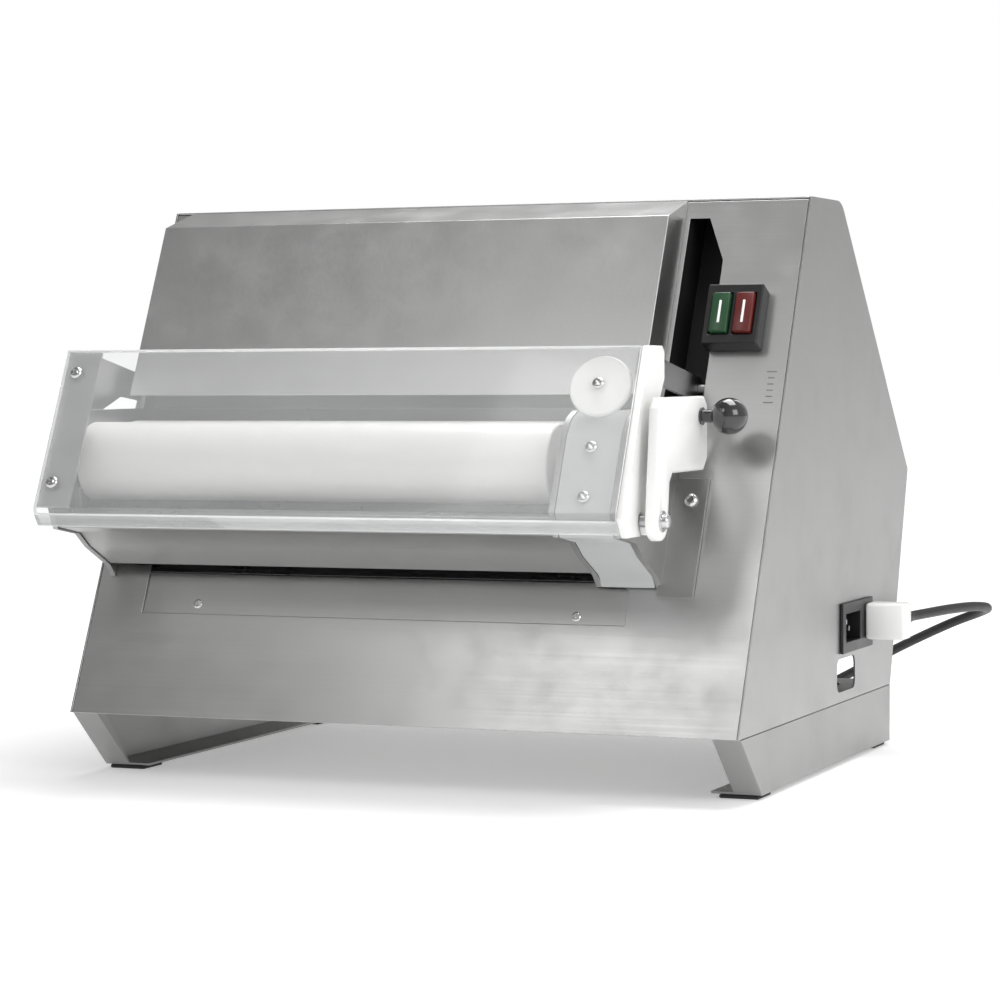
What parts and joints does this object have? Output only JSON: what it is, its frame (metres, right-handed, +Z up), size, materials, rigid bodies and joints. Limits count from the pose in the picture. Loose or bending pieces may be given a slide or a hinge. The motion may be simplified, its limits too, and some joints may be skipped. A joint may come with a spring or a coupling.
{
  "type": "dough sheeter",
  "caption": "Benchtop dough sheeter: sloping steel housing on foot rails, white roller pair under a clear hinged guard, gap lever with ball knob, push-button switch and mains cord.",
  "frame": {"origin": "middle of the machine's footprint, on the surface its rubber pads stand on", "axes": "+X to the operator's right, +Y away from the operator, +Z up"},
  "size_m": [0.5527, 0.6666, 0.408],
  "materials": {
    "brushed_stainless": "brushed",
    "plain_steel": "machined",
    "white_plastic": "smooth",
    "black_plastic": "satin",
    "grey_plastic": "satin",
    "clear_polycarbonate": "clear",
    "black_rubber": "matt",
    "bronze": "sintered",
    "motor_paint": "satin",
    "green_button": "gloss",
    "red_button": "gloss"
  },
  "bodies": {
    "housing": {"left_side_panel": "brushed_stainless", "right_side_panel": "brushed_stainless", "front_panel": "brushed_stainless", "top_cover": "brushed_stainless", "rear_cover": "brushed_stainless", "base_plate": "brushed_stainless", "left_foot": "brushed_stainless", "right_foot": "brushed_stainless", "hopper_chute": "brushed_stainless", "left_head_plate": "brushed_stainless", "inner_head_plate": "brushed_stainless", "outer_head_plate": "brushed_stainless", "deflector": "brushed_stainless", "outlet_slide": "brushed_stainless", "rear_scraper": "brushed_stainless", "left_hinge_pin": "plain_steel", "right_hinge_pin": "plain_steel", "motor_mount": "plain_steel", "left_front_pad": "black_rubber", "left_rear_pad": "black_rubber", "right_front_pad": "black_rubber", "right_rear_pad": "black_rubber", "drive_belt": "black_rubber", "strain_relief": "black_rubber", "mains_cord": "black_rubber", "cord_coil": "black_rubber", "cord_connector": "white_plastic", "arm_slot_liner": "black_plastic", "guard_sensor": "black_plastic", "switch_housing": "black_plastic", "mains_inlet": "black_plastic", "mains_plug": "black_plastic", "gear_case_cover": "grey_plastic", "run_capacitor": "grey_plastic", "rear_left_bushing": "bronze", "rear_right_bushing": "bronze", "gearbox": "motor_paint", "motor": "motor_paint"},
    "rear_roller_assembly": {"rear_roller": "white_plastic", "rear_roller_shaft": "plain_steel", "rear_gear": "white_plastic", "roller_pulley": "plain_steel"},
    "drive_shaft": {"output_shaft": "plain_steel", "motor_pulley": "plain_steel"},
    "roller_carriage": {"left_slide_block": "plain_steel", "right_slide_block": "plain_steel", "front_scraper": "brushed_stainless"},
    "front_roller_assembly": {"front_roller": "white_plastic", "front_roller_shaft": "plain_steel", "front_gear": "white_plastic"},
    "gap_adjuster": {"cam_shaft": "plain_steel", "gap_lever": "white_plastic", "ball_knob": "black_plastic"},
    "guard": {"guard_sheet": "clear_polycarbonate", "left_guard_bracket": "brushed_stainless", "right_guard_end": "white_plastic", "right_guard_arm": "brushed_stainless", "magnet_boss": "white_plastic"},
    "start_button_body": {"start_button": "green_button"},
    "stop_button_body": {"stop_button": "red_button"}
  },
  "joints": [
    {"name": "rear_roller_spin", "type": "hinge", "parent": "housing", "child": "rear_roller_assembly", "pos_m": [-0.00125, -0.11954, 0.225], "axis": [1, 0, 0], "continuous": true},
    {"name": "drive_shaft_spin", "type": "hinge", "parent": "housing", "child": "drive_shaft", "pos_m": [-0.00125, 0.04646, 0.151], "axis": [1, 0, 0], "continuous": true},
    {"name": "gap_lever_turn", "type": "hinge", "parent": "housing", "child": "gap_adjuster", "pos_m": [-0.00125, -0.20654, 0.1895], "axis": [1, 0, 0], "range_deg": [0, 60]},
    {"name": "carriage_slide", "type": "slide", "parent": "housing", "child": "roller_carriage", "axis": [0, -1, 0], "range_m": [0, 0.003]},
    {"name": "front_roller_spin", "type": "hinge", "parent": "roller_carriage", "child": "front_roller_assembly", "pos_m": [-0.00125, -0.17754, 0.225], "axis": [1, 0, 0], "continuous": true},
    {"name": "guard_swing", "type": "hinge", "parent": "housing", "child": "guard", "pos_m": [-0.00125, -0.07054, 0.2735], "axis": [-1, 0, 0], "range_deg": [0, 70]},
    {"name": "start_button_press", "type": "slide", "parent": "housing", "child": "start_button_body", "axis": [0, 0.9063, -0.4226], "range_m": [0, 0.002], "stiffness_N_per_m": 400, "springref_m": -0.0005},
    {"name": "stop_button_press", "type": "slide", "parent": "housing", "child": "stop_button_body", "axis": [0, 0.9063, -0.4226], "range_m": [0, 0.002], "stiffness_N_per_m": 400, "springref_m": -0.0005}
  ],
  "couplings": [
    {"joint": "drive_shaft_spin", "follows": "rear_roller_spin", "ratio": 1.375},
    {"joint": "front_roller_spin", "follows": "rear_roller_spin", "ratio": -1},
    {"joint": "carriage_slide", "follows": "gap_lever_turn", "m_per_rad": 0.0028648}
  ]
}
